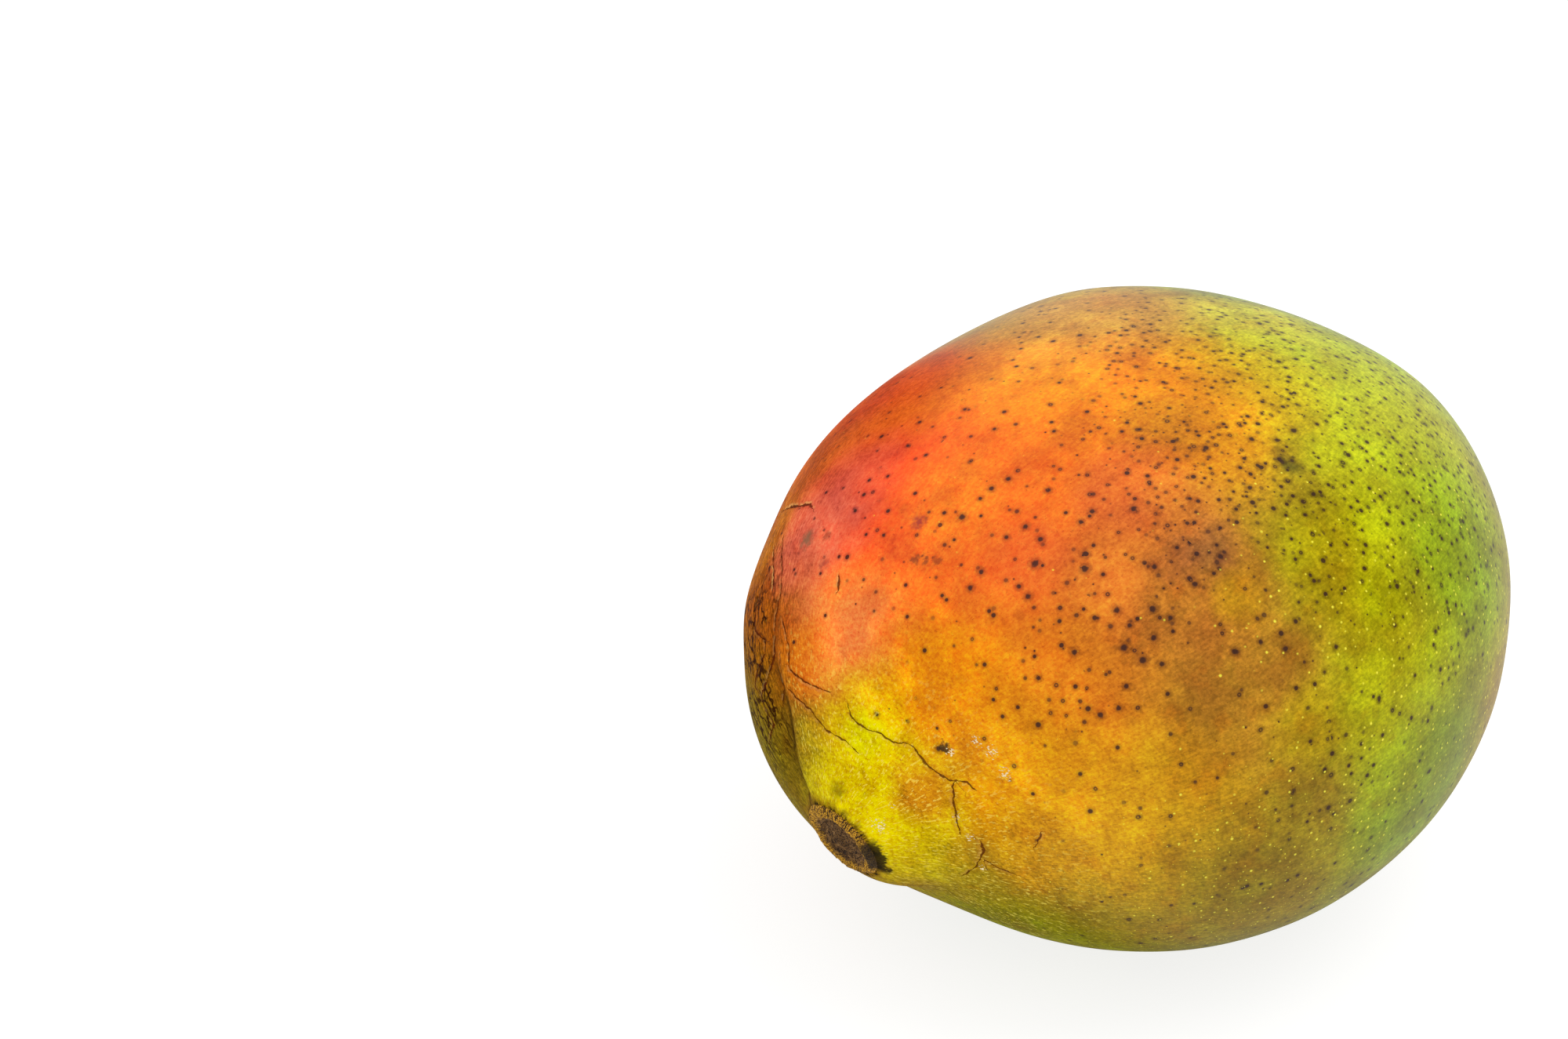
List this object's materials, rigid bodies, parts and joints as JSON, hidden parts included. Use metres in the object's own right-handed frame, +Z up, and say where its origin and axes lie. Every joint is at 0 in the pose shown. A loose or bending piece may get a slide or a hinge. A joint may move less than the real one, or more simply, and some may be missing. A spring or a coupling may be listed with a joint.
{
  "type": "mango",
  "caption": "Whole ripe mango lying on one broad cheek: a full, slightly flattened fruit with a blunt stalk end, a creased shoulder and a short corky stalk stub.",
  "frame": {"origin": "centre of the bounding box in plan, on the plane that the fruit rests on", "axes": "+X runs along the fruit from the stalk end to the blossom end, +Y towards the side of the low beak, +Z up through the upper cheek"},
  "size_m": [0.1186, 0.104, 0.0829],
  "materials": {
    "skin": "satin",
    "cork": "matte"
  },
  "bodies": {
    "root": {"fruit": "skin", "stem_stub": "cork"}
  },
  "joints": []
}
